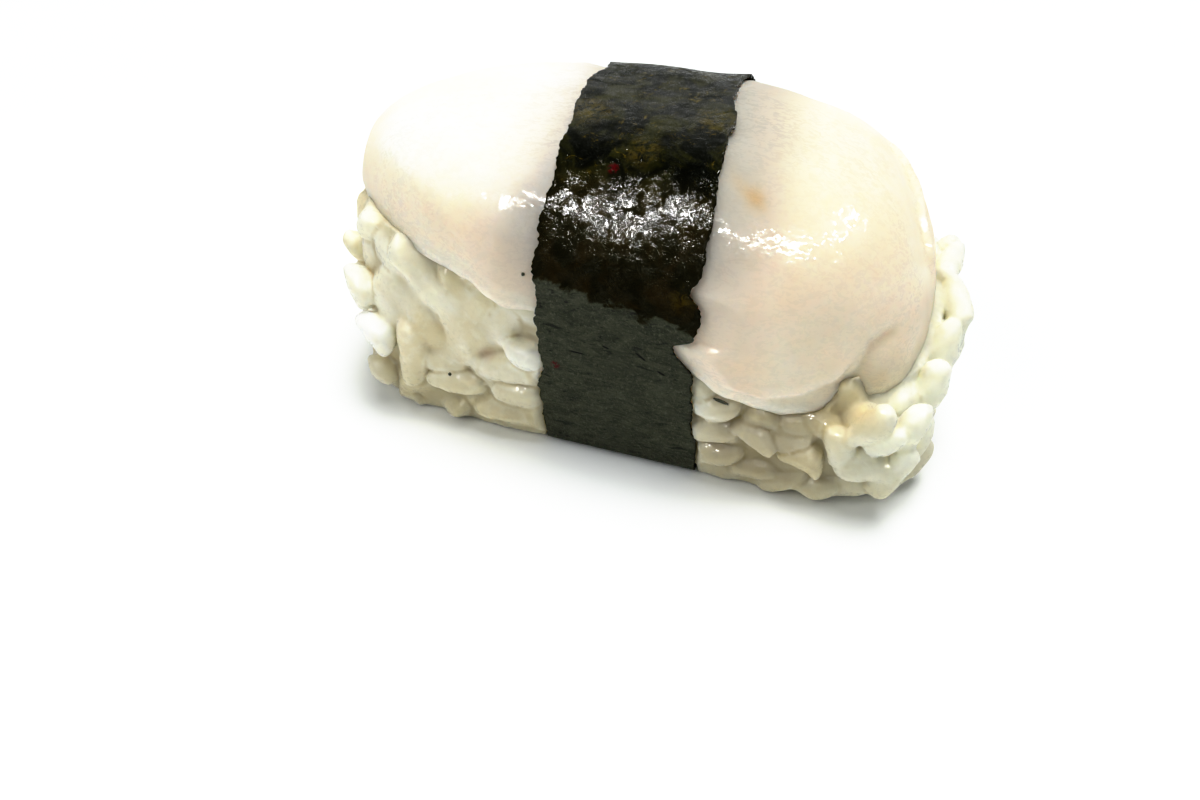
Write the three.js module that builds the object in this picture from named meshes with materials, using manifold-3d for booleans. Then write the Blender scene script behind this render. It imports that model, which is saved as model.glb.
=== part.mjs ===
// Scallop nigiri: a block of pressed rice, a slice of scallop draped over it
// and a band of dried seaweed wrapped round both.
// Millimetres: x runs along the block, y to the back, z up, and it rests on z = 0.
import * as THREE from 'three';
import { mergeVertices } from 'three/addons/utils/BufferGeometryUtils.js';
import Module from 'manifold-3d';

// Driving dimensions
const GAP = 0.3;                // clear distance between touching pieces
const HUB_HEIGHT = 9.2;         // height of the point that rice and slice are measured from

const SLICE = { front: 16, back: 15.9, down: 14.7, thickness: 5.7, lip: 1.45 };
const RIGHT_LOBE = { long: 25.9, up: 20.6, plan: 2.45, upright: 2.9 };
const LEFT_LOBE = { long: 29.3, up: 18.7, plan: 1.9, upright: 5 };
const LOBE_BLEND = 3;           // how fast one lobe's shape turns into the other's
// The rim's angle down from straight up, in degrees, at every 15 degrees of turn
// from the right end round by the back
const RIM_TILTS = [81, 78, 76, 77, 79, 80, 80, 79, 77, 74, 71, 70,
  70, 71, 69, 66, 67, 71, 72, 73, 79, 89, 91, 87];
const RIM_NOTCH = { turn: -29, half: 4, depth: 6 };     // degrees

const BLOCK = { right: 26.7, left: 27, width: 12.5, middle: 8.3, up: 15.6, down: 11 };
const BLOCK_POWERS = { long: 5, wide: 4, high: 7 };
const BLOCK_FLARE = 0.035;      // share by which the block is wider at the floor than in its middle

const GRAIN = { length: 6.8, width: 3.2, thickness: 2.85, bluntness: 0.75 };
const GRAIN_SIZES = { least: 0.84, spread: 0.3 };
const GRAIN_COUNT = 126;
const GRAIN_TRIES = 6000;
const GRAIN_SPACING = 3.5;      // least distance between the middles of two grains
const GRAIN_STANDS_OUT = { least: 0.2, spread: 0.8 };
const GRAIN_LOWEST = 1.3;
const GRAIN_TILT = 0.7;         // how far grains point into or out of the block

const BAND = { left: -6.5, right: 7.3, thickness: 0.4, middle: 11, wide: 14.5, up: 18.7, down: 11 };
const BAND_POWERS = { up: 3, down: 24 };
const BAND_LEAN = 0.04;         // how much further forward it stands a middle's height up
const BAND_RISE = 0.0026;       // how much higher its top is for each millimetre to the right
const BAND_RIPPLE = { height: 0.12, along: 11, across: 0.5 };
const BAND_TEARS = [[7, 0.14], [13, 0.12], [23, 0.1]];  // waves along an edge, and their depth
// Places where an edge leaves its line: angle up from the front and half width in degrees, reach
const LEFT_EDGE_BUMPS = [[105, 30, -0.6]];
const RIGHT_EDGE_BUMPS = [[-40, 18, 1], [18, 5, -1.8], [105, 30, -1.6]];

// Numbers of steps in each skin
const SLICE_STEPS = { around: 56, upper: 10, lip: 3, under: 3 };
const CORE_STEPS = { around: 28, upper: 7, side: 3, floor: 2 };
const GRAIN_STEPS = { around: 5, along: 4 };
const BAND_STEPS = { around: 54, across: 5 };

// Grains that stand out at the front and at the right end: middle, way of the long axis, length
const CHOSEN_GRAINS = [
  [[-23.5, -13.4, 10.3], [3.8, 0, -4.4], 5.9],
  [[-24.1, -12.5, 4.0], [2.4, 0, -3.4], 4.8],
  [[-25.4, -11.4, 1.7], [3, -1, 0], 5.4],
  [[-20.1, -13.4, 5.3], [2.2, 0, -5.2], 6.1],
  [[-15.8, -13.2, 2.2], [3.5, 0, 0.4], 4.4],
  [[-9.8, -13.4, 2.9], [7.1, 0, -1.3], 7.0],
  [[-9.0, -13.2, 11.0], [3.1, 0, -2.1], 4.8],
  [[12.3, -13.4, 2.0], [4.6, 0, 0.5], 5.6],
  [[15.7, -13.6, 1.6], [3.1, -1, 0.4], 5.0],
  [[19.3, -13.6, 1.8], [4.5, 0, 0.6], 6.0],
  [[25.0, -13.2, 6.1], [-2.6, -2, -7.0], 7.4],
  [[21.7, -13.2, 7.9], [5.6, 0, 5.0], 7.0],
  [[23.2, -12.5, 11.8], [5.0, 1, 4.0], 6.8],
  [[27.6, -2.8, 12.5], [0, 1, 3.6], 6.6],
  [[27.0, 0.0, 17.5], [1.5, 3, 2.0], 5.6],
];

const COLOURS = { rice: 0xdcd7bf, scallop: 0xf3e6cf, nori: 0x2f3326 };
const ROUGHNESS = { rice: 0.45, scallop: 0.3, nori: 0.5 };

const { lerp, degToRad, radToDeg } = THREE.MathUtils;
const HALF_TURN = Math.PI;
const LEVEL = Math.PI / 2;
const BISECTIONS = 30;
const FAR = 60;                 // further out than any part of the nigiri

const wasm = await Module();
wasm.setup();

// The same scattered value from 0 to 1 each time for one whole number
function chance(n) {
  const value = Math.sin(n * 127.1 + 311.7) * 43758.5453;
  return value - Math.floor(value);
}

// Smooth closed curve through evenly spaced values
function throughValues(values, at) {
  const first = Math.floor(at);
  const t = at - first;
  const count = values.length;
  const value = (k) => values[(((first + k) % count) + count) % count];
  const [a, b, c, d] = [value(-1), value(0), value(1), value(2)];
  return b + 0.5 * t * (c - a + t * (2 * a - 5 * b + 4 * c - d + t * (3 * (b - c) + d - a)));
}

// Largest reach for which holds(reach) is true
function furthest(holds) {
  let near = 0;
  let far = FAR;
  for (let i = 0; i < BISECTIONS; i += 1) {
    const middle = (near + far) / 2;
    if (holds(middle)) near = middle;
    else far = middle;
  }
  return near;
}

// Unit sphere with its points moved by place(turn, tilt): turn goes round the z axis from +x,
// and tilt is the angle down from +z, both in radians
function sphereSkin(aroundSteps, downSteps, place) {
  const skin = new THREE.SphereGeometry(1, aroundSteps, downSteps);
  const { position, uv } = skin.attributes;
  for (let i = 0; i < position.count; i += 1) {
    const turn = 2 * Math.PI * uv.getX(i) + HALF_TURN;
    const tilt = Math.PI * (1 - uv.getY(i));
    position.setXYZ(i, ...place(turn, tilt).toArray());
  }
  return skin;
}

function direction(turn, tilt) {
  const level = Math.sin(tilt);
  return new THREE.Vector3(level * Math.cos(turn), level * Math.sin(turn), Math.cos(tilt));
}

function fromHub(turn, tilt, reach) {
  const point = direction(turn, tilt).multiplyScalar(reach);
  point.z += HUB_HEIGHT;
  return point;
}

// Slice of scallop

// Reach of its upper face from the hub
function sliceReach(turn, tilt) {
  const way = direction(turn, tilt);
  const leftShare = 0.5 - 0.5 * Math.tanh(LOBE_BLEND * way.x);
  const blend = (name) => lerp(RIGHT_LOBE[name], LEFT_LOBE[name], leftShare);
  const [long, plan, upright] = [blend('long'), blend('plan'), blend('upright')];
  const wide = way.y > 0 ? SLICE.back : SLICE.front;
  const high = way.z > 0 ? blend('up') : SLICE.down;
  const flat = Math.abs(way.x / long) ** plan + Math.abs(way.y / wide) ** plan;
  return (flat ** (upright / plan) + Math.abs(way.z / high) ** upright) ** (-1 / upright);
}

function rimTilt(turn) {
  const degrees = radToDeg(turn);
  const away = ((degrees - RIM_NOTCH.turn + 540) % 360) - 180;
  const notch = RIM_NOTCH.depth * Math.exp(-((away / RIM_NOTCH.half) ** 2));
  return degToRad(throughValues(RIM_TILTS, degrees / 15) - notch);
}

// Tilt at which the rounded lip begins
function lipTilt(turn) {
  const rim = rimTilt(turn);
  return rim - SLICE.lip / sliceReach(turn, rim);
}

// share is 0 over the middle of the slice and 1 at its lip
function sliceThickness(share) {
  return lerp(SLICE.thickness, 2 * SLICE.lip, share * share);
}

// Upper face from the middle to the lip, round the lip and back along the underside,
// all moved outwards by grow
function sliceSkin(grow) {
  const { around, upper, lip, under } = SLICE_STEPS;
  const steps = upper + lip + under;
  return sphereSkin(around, steps, (turn, tilt) => {
    const step = (tilt / Math.PI) * steps;
    const start = lipTilt(turn);
    if (step <= upper) {
      const at = (start * step) / upper;
      return fromHub(turn, at, sliceReach(turn, at) + grow);
    }
    if (step <= upper + lip) {
      const bend = (HALF_TURN * (step - upper)) / lip;
      const middle = sliceReach(turn, start) - SLICE.lip;
      const radius = SLICE.lip + grow;
      const at = start + (radius * Math.sin(bend)) / middle;
      return fromHub(turn, at, middle + radius * Math.cos(bend));
    }
    const share = (steps - step) / under;
    const at = start * share;
    return fromHub(turn, at, sliceReach(turn, at) - sliceThickness(share) - grow);
  });
}

// Band of seaweed: a strip round the x axis, where angle 0 is the front and a quarter turn the top

function bandReach(angle, grow) {
  const upper = Math.sin(angle) >= 0;
  const high = (upper ? BAND.up : BAND.down) + grow;
  const power = upper ? BAND_POWERS.up : BAND_POWERS.down;
  const across = Math.abs(Math.cos(angle) / (BAND.wide + grow)) ** power;
  return (across + Math.abs(Math.sin(angle) / high) ** power) ** (-1 / power);
}

function bandPoint(angle, x, grow) {
  const upward = Math.max(Math.sin(angle), 0);
  const ripple = Math.sin(BAND_RIPPLE.along * angle + BAND_RIPPLE.across * x);
  const reach = bandReach(angle, grow) + BAND_RIPPLE.height * upward * ripple;
  const rise = reach * Math.sin(angle) * (1 + (upward > 0 ? BAND_RISE * x : 0));
  const lean = 1 + (BAND_LEAN * rise) / BAND.middle;
  return new THREE.Vector3(x, -reach * Math.cos(angle) * lean, BAND.middle + rise);
}

// The strip's torn edges
function bandEdges(angle) {
  const tear = (start) => BAND_TEARS.reduce(
    (sum, [waves, depth], i) => sum + depth * Math.sin(waves * angle + (i + 1) * start), 0);
  const bumps = (list) => list.reduce(
    (sum, [middle, half, reach]) => sum + reach * Math.exp(-(((radToDeg(angle) - middle) / half) ** 2)), 0);
  return {
    left: BAND.left + tear(1) + bumps(LEFT_EDGE_BUMPS),
    right: BAND.right + tear(4) + bumps(RIGHT_EDGE_BUMPS),
  };
}

// Strip between two growths of the band's outer face, with its edges moved out by sideways
function bandSkin(outer, inner, sideways) {
  const { around, across } = BAND_STEPS;
  const steps = 2 * across + 2;
  const strip = new THREE.TorusGeometry(2, 1, steps, around);
  const { position, uv } = strip.attributes;
  for (let i = 0; i < position.count; i += 1) {
    const turned = 2 * Math.PI * uv.getX(i) + Math.PI / around;
    const angle = turned > Math.PI ? turned - 2 * Math.PI : turned;
    const step = Math.round(uv.getY(i) * steps) % steps;
    const onOuter = step <= across;
    const share = onOuter ? 1 - step / across : (step - across - 1) / across;
    const edges = bandEdges(angle);
    const x = lerp(edges.left - sideways, edges.right + sideways, share);
    position.setXYZ(i, ...bandPoint(angle, x, onOuter ? outer : inner).toArray());
  }
  return strip;
}

// Block of rice

function blockHolds(p) {
  const lift = (p.z - BLOCK.middle) / (p.z > BLOCK.middle ? BLOCK.up : BLOCK.down);
  const flare = 1 - (BLOCK_FLARE * (p.z - BLOCK.middle)) / BLOCK.middle;
  const long = Math.abs(p.x / ((p.x > 0 ? BLOCK.right : BLOCK.left) * flare));
  const wide = Math.abs(p.y / (BLOCK.width * flare));
  return long ** BLOCK_POWERS.long + wide ** BLOCK_POWERS.wide + Math.abs(lift) ** BLOCK_POWERS.high < 1;
}

// Point of the block's side at one height
function blockSide(turn, z) {
  const at = (reach) => new THREE.Vector3(reach * Math.cos(turn), reach * Math.sin(turn), z);
  return at(furthest((reach) => blockHolds(at(reach))));
}

// Reach of the block from the hub, cut off under the slice and at the floor
function coreReach(turn, tilt) {
  const reach = furthest((at) => blockHolds(fromHub(turn, tilt, at)));
  const start = lipTilt(turn);
  const underSlice = sliceReach(turn, tilt) - sliceThickness(tilt / start) - GAP;
  const toFloor = HUB_HEIGHT / -Math.cos(tilt);
  return Math.min(reach, tilt < start ? underSlice : FAR, tilt > LEVEL ? toFloor : FAR);
}

function coreSkin() {
  const { around, upper, side, floor } = CORE_STEPS;
  const steps = upper + side + floor;
  return sphereSkin(around, steps, (turn, tilt) => {
    const step = (tilt / Math.PI) * steps;
    const foot = LEVEL + Math.atan2(HUB_HEIGHT, blockSide(turn, 0).length());
    let at = (LEVEL * step) / upper;
    if (step > upper) at = lerp(LEVEL, foot, (step - upper) / side);
    if (step > upper + side) at = lerp(foot, Math.PI, (step - upper - side) / floor);
    return fromHub(turn, at, coreReach(turn, at));
  });
}

function chosenGrains() {
  return CHOSEN_GRAINS.map(([middle, along, length]) => {
    const [x, y] = middle;
    return {
      middle: new THREE.Vector3(...middle),
      along: new THREE.Vector3(...along).normalize(),
      out: new THREE.Vector3(x / BLOCK.right ** 2, y / BLOCK.width ** 2, 0).normalize(),
      length,
      girth: 1,
    };
  });
}

// A grain somewhere on the sides of the block below the slice, drawn from seven chances
function scatteredGrain(draw) {
  const pick = (k) => chance(7 * draw + k);
  const along = (2 * pick(0) - 1) * (BLOCK.right + BLOCK.width);
  const past = Math.max(Math.abs(along) - BLOCK.right, 0);
  const front = pick(1) < 0.5 ? -1 : 1;
  const turn = Math.atan2(front * (BLOCK.width - past), along - Math.sign(along) * past);
  const rim = rimTilt(turn);
  const top = fromHub(turn, rim, sliceReach(turn, rim)).z;
  const height = lerp(GRAIN_LOWEST, top, pick(2));
  const base = blockSide(turn, height);
  const ahead = blockSide(turn + 0.02, height).sub(base).normalize();
  const out = new THREE.Vector3(ahead.y, -ahead.x, 0);
  const lean = Math.PI * pick(4);
  const size = GRAIN_SIZES.least + GRAIN_SIZES.spread * pick(5);
  const way = ahead.multiplyScalar(Math.cos(lean)).addScaledVector(out, GRAIN_TILT * (pick(6) - 0.5));
  way.z += Math.sin(lean);
  return {
    middle: base.addScaledVector(out, GRAIN_STANDS_OUT.least + GRAIN_STANDS_OUT.spread * pick(3)),
    along: way.normalize(),
    out,
    length: GRAIN.length * size,
    girth: (1 + size) / 2,
  };
}

function allGrains() {
  const grains = chosenGrains();
  for (let draw = 0; grains.length < GRAIN_COUNT && draw < GRAIN_TRIES; draw += 1) {
    const grain = scatteredGrain(draw);
    const { x } = grain.middle;
    const underBand = x > BAND.left - 0.5 && x < BAND.right + 0.5;
    const crowded = grains.some((other) => other.middle.distanceTo(grain.middle) < GRAIN_SPACING);
    if (!underBand && !crowded) grains.push(grain);
  }
  return grains;
}

function grainSkin({ middle, along, out, length, girth }) {
  const side = new THREE.Vector3().crossVectors(out, along).normalize();
  const face = new THREE.Vector3().crossVectors(along, side);
  return sphereSkin(GRAIN_STEPS.around, GRAIN_STEPS.along, (turn, tilt) => {
    const round = (girth * Math.sin(tilt) ** GRAIN.bluntness) / 2;
    return middle.clone()
      .addScaledVector(along, (length * Math.cos(tilt)) / 2)
      .addScaledVector(side, GRAIN.width * round * Math.cos(turn))
      .addScaledVector(face, GRAIN.thickness * round * Math.sin(turn));
  });
}

// Joining and cutting

function toSolid(geometry) {
  const bare = geometry.clone();
  bare.deleteAttribute('normal');
  bare.deleteAttribute('uv');
  const merged = mergeVertices(bare, 1e-5);
  return new wasm.Manifold(new wasm.Mesh({
    numProp: 3,
    vertProperties: new Float32Array(merged.attributes.position.array),
    triVerts: new Uint32Array(merged.index.array),
  }));
}

function toGeometry(solid) {
  const mesh = solid.getMesh();
  const geometry = new THREE.BufferGeometry();
  geometry.setAttribute('position', new THREE.BufferAttribute(mesh.vertProperties, 3));
  geometry.setIndex(new THREE.BufferAttribute(mesh.triVerts, 1));
  geometry.computeVertexNormals();
  return geometry;
}

// The largest body alone, without loose scraps and sealed hollows
function largest(solid) {
  return solid.decompose().reduce((best, body) => (body.volume() > best.volume() ? body : best));
}

// Everything outside the band's inner face, over the band's width
const roundBand = toSolid(bandSkin(SLICE.front, -BAND.thickness - GAP, GAP));

function makeRice() {
  let heap = toSolid(coreSkin());
  for (const grain of allGrains()) heap = heap.add(toSolid(grainSkin(grain)));
  const aboveFloor = new THREE.BoxGeometry(2 * FAR, 2 * FAR, FAR).translate(0, 0, FAR / 2);
  return heap.intersect(toSolid(aboveFloor)).subtract(toSolid(sliceSkin(GAP))).subtract(roundBand);
}

const solids = {
  rice: largest(makeRice()),
  scallop: largest(toSolid(sliceSkin(0)).subtract(roundBand)),
  nori: toSolid(bandSkin(0, -BAND.thickness, 0)),
};

const nigiri = new THREE.Group();
for (const [name, solid] of Object.entries(solids)) {
  const material = new THREE.MeshStandardMaterial({
    color: COLOURS[name], roughness: ROUGHNESS[name], metalness: 0,
  });
  const mesh = new THREE.Mesh(toGeometry(solid), material);
  mesh.name = name;
  nigiri.add(mesh);
}

export default nigiri;
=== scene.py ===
# Scallop nigiri: pressed rice, a draped slice of scallop and a band of dried seaweed.
# Shapes are worked out in millimetres: x runs along the block, y to the back and z up.
# They become metres when a mesh is made.
import itertools
import math

import bpy
import numpy as np
import openvdb
from mathutils import Euler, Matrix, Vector
from mathutils.bvhtree import BVHTree


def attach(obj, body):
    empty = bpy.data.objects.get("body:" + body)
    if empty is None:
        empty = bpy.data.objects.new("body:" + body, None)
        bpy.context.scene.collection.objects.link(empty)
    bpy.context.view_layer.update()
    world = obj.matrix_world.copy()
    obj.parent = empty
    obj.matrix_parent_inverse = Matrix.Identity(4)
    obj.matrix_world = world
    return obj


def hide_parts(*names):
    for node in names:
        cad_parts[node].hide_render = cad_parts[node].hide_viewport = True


MM = 0.001

# Camera: lens and sensor in millimetres, picture in pixels
LENS = 27.06
SENSOR = 36
PICTURE = (1200, 800)
CAMERA_TURN = 17.6  # degrees round from the front towards the right end
CAMERA_PITCH = 44.6  # degrees down
CAMERA_DISTANCE = 92
CAMERA_TARGET = (-3.22, -6.99, 0)
CLIP = (0.005, 10)  # nearest and furthest that it sees, in metres

# Soft lamps in metres: name, place, the place they face, watts, size, tint
SOFT_LAMPS = (
    ("overhead", (0.05, 0.08, 0.66), (0, 0, 0), 3.7, 0.38, (1, 0.995, 0.985)),
    ("fill", (-0.38, -0.28, 0.42), (-0.02, 0, 0.01), 0.7, 0.3, (1, 0.985, 0.96)),
)
# Narrow lamps that the wet surfaces mirror: name, turn from the right end, watts, length
GLINT_LAMPS = (
    ("lamp_left", -127, 2.5, 0.16),
    ("lamp_front", -111, 7.5, 0.2),
    ("lamp_near", -60, 4, 0.4),
    ("lamp_right", 0, 4.5, 0.35),
)
GLINT_FAR = 0.64  # how far from the origin they hang, as far up as out
GLINT_WIDE = 0.035
GLINT_TARGET = (0, 0, 0.015)
GLINT_TINT = (1, 0.99, 0.975)
# Even light from all round
ROOM_COLOUR = (0.93, 0.97, 1.0, 1)
ROOM_STRENGTH = 0.25
# Half the floor's side, points along it and its height, in metres
FLOOR = {"half": 0.9, "count": 24, "height": -0.00002}

# Light in and out of the picture's tones
TONE = [(0, 0), (0.04, 0.01), (0.12, 0.07), (0.3, 0.235), (0.6, 0.62), (0.82, 0.93), (1, 1)]

# Slice of scallop
HUB_HEIGHT = 9.2  # height of the point that rice and slice are measured from
SLICE = {"front": 16, "back": 15.9, "down": 14.7, "thickness": 5.7, "lip": 1.45}
THINNEST = 0.7  # least thickness of the lip where the band holds it down
RIGHT_LOBE = {"long": 25.9, "up": 20.6, "plan": 2.45, "upright": 2.9}
LEFT_LOBE = {"long": 29.3, "up": 18.7, "plan": 1.9, "upright": 5}
LOBE_BLEND = 3  # how fast one lobe's shape turns into the other's
# The rim's angle down from straight up, in degrees, at every 15 degrees of turn
# from the right end round by the back
RIM_TILTS = [81, 78, 76, 77, 79, 80, 80, 79, 77, 74, 71, 70,
             70, 71, 69, 66, 67, 71, 72, 73, 81, 89, 91, 87]
RIM_NOTCH = {"turn": -29, "half": 3.6, "depth": 8.5}
RIM_WAVER = 0.9  # degrees by which the rim wanders
RIM_WAVES = ((2.6, 0.6), (0.9, 0.4))  # how long its wanderings are, and their shares
RIM_RADIUS = 22  # of the circle that they are worked out on
SLICE_STEPS = {"around": 520, "upper": 128, "lip": 14, "under": 8}
SLICE_UNEVEN = ((9, 0.3), (3.2, 0.12), (1.3, 0.045))  # sizes of its waves and their heights
SMOOTH_TOP = (0.1, 0.4)  # tilts in radians between which folds and waves set in
PINCH_WIDTH = 3.2  # how far from the band the slice is still held down
PINCH_CLEAR = 0.05  # how far it stays below the band
# Lines on the slice: places as turn and tilt in degrees, height and half width of the ridge
# along it, and the step down to its outer side
FOLDS = (
    ([(-172, 60), (-158, 55), (-143, 53), (-128, 58), (-116, 65)], 0.3, 1.5, 0),
    ([(22, 50), (16, 53), (8, 57), (1, 60), (-4, 65), (-6, 71)], 0.25, 0.8, 0.5),
    ([(-58, 77), (-48, 81), (-40, 80.5), (-34, 77.5), (-30, 74)], 0.3, 0.6, 0.8),
    ([(-28.5, 82), (-28, 78), (-26, 72.5), (-21, 70.5)], -0.6, 0.7, 0),
    ([(-44, 70), (-38, 69), (-33.5, 68), (-29.5, 66)], -0.25, 1.6, 0),
)
STEP_WIDTH = 0.35  # over which a step falls
STEP_REACH = 3.5  # over which the slice comes back up beyond it
# Spots on the slice: turn and tilt, half their width and half their length downhill
FLAP = (-20, 80, 3.2, 3.2)
FLAP_HEIGHT = 0.5
DIMPLE = (-43.3, 33, 0.9, 1.9)
DIMPLE_DEPTH = 0.14
DROP = (-43.2, 36.5, 0.75, 1.1)  # yellowish, in the dimple
DROP_TIP = (-45.5, 32, 0.55, 1.2)
DROP_TIP_SHARE = 0.35

# Band of seaweed
BAND = {"left": -6.5, "right": 7.3, "thickness": 0.4, "middle": 11, "wide": 14.5, "up": 18.7, "down": 11}
BAND_POWERS = {"up": 3, "down": 24}
BAND_LEAN = 0.04  # how much further forward it stands a middle's height up
BAND_RISE = 0.0026  # how much higher its top is for each millimetre to the right
BAND_RIPPLE = {"height": 0.12, "along": 11, "across": 0.5}
BAND_TEARS = [(7, 0.14), (13, 0.12), (23, 0.1)]  # waves along an edge, and their depth
# Places where an edge leaves its line: angle up from the front, widths below and above, reach
LEFT_EDGE_BUMPS = [(105, 30, 30, -0.6), (66, 14, 14, 0.5)]
RIGHT_EDGE_BUMPS = [(-40, 18, 18, 1), (18.5, 6.5, 2.2, -1.9), (105, 30, 30, -1.6),
                    (36, 2.6, 3.4, -1.1), (23, 2, 3, -0.4)]
EDGE_RAGS = ((1.3, 0.1), (0.55, 0.11), (0.24, 0.1))  # sizes of the rags along an edge, and their depth
BAND_STEPS = {"around": 1100, "outer": 64, "inner": 4}
BAND_BACK = 0.12  # how much of its thickness the strip leaves free inside, for its crinkles
BAND_CRINKLES = ((2.6, 0.1), (1.1, 0.04), (0.5, 0.012))  # their sizes and heights
# Where they are highest, in degrees up from the front, and their shares elsewhere and inside
BAND_CRINKLED = {"middle": 52, "half": 30, "least": 0.35, "inside": 0.6}
# Specks on the band and their sizes
RED_SPECKS = (((-5.0, -14.5, 10.9), 0.25), ((-1.4, -9.3, 28.1), 0.3))
# Crumbs: the photograph's pixels where each starts and ends, half its width and thickness
CRUMBS = (
    ((713, 398), (729, 405), 0.17, 0.06),
    ((523, 274), (523, 274), 0.15, 0.09),
    ((450, 374), (450, 374), 0.16, 0.1),
)
CRUMB_RINGS = 7  # rows of points on a crumb, and points in each
CRUMB_SPOKES = 10
# Yellowish thin places and their sizes
OLIVE_SPOTS = (((5.9, -14.3, 20.6), 0.1), ((-5.3, -3.2, 29.4), 0.9), ((5.2, -2.6, 29.8), 0.7),
               ((0.5, -7.6, 28.9), 0.5))
# Slits in the front: how far across and round, lean in degrees, half their length
SLITS = (((-2.9, 2.0), -2, 0.9), ((2.8, 3.0), -38, 0.75), ((-0.3, 3.3), -20, 0.4), ((4.6, 1.6), -25, 0.5))
SLIT_WIDTH = 0.12

# Block of rice
BLOCK = {"right": 26.7, "left": 27, "width": 12.5, "middle": 8.3, "up": 15.6, "down": 11}
BLOCK_POWERS = (5, 4, 7)  # how square it is along, across and upright
BLOCK_FLARE = 0.035  # how much longer and wider it is at the floor
GRAIN = {"length": 5.9, "width": 3.25, "thickness": 2.9}
GRAIN_SIZES = {"least": 0.82, "spread": 0.3}
GRAIN_BEND = 0.7  # most and least of a grain's bend lie this far apart
GRAIN_TAPER = 0.24  # the same for how much thicker one end is
GRAIN_THINNER = 0.2  # how much thinner its ends are than its middle
GRAIN_LOWEST = 1.3  # least height at which a scattered grain is drawn
GRAIN_TILT = 0.6  # how steeply scattered grains point out of the block
RICE_UNEVEN = ((1.6, 0.12), (0.8, 0.07), (0.42, 0.02))  # sizes of its dents and their heights
# Tan places on the rice, a stain and painted shade under the overhanging slice: place, size, share and
# colour on a screen
RICE_STAINS_AND_SHADE = (
    # a brown stain
    ((-12.0, -13.4, 9.6), 0.2, 0.35, (186, 146, 98)),
    # painted shade under the flap and the overhanging slice
    ((19.8, -12.2, 10.7), 1.2, 0.6, (194, 180, 138)),
    ((22.4, -13.6, 12.2), 0.6, 0.5, (190, 172, 126)),
    ((13.5, -13.4, 6.0), 2.2, 0.5, (160, 146, 112)),
)
# Layers over the whole side of the block, the last of them lumps in the fused patch: how many,
# draws to take them from, how far apart, least and further way out of the block's face, in the patch
GRAIN_LAYERS = (
    (190, range(0, 7000), 2.9, 0.0, 0.8, False),
    (240, range(7000, 14000), 2.35, -1.2, 0.9, False),
    (60, range(21000, 27000), 2.5, 0.2, 0.6, True),
)
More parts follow.
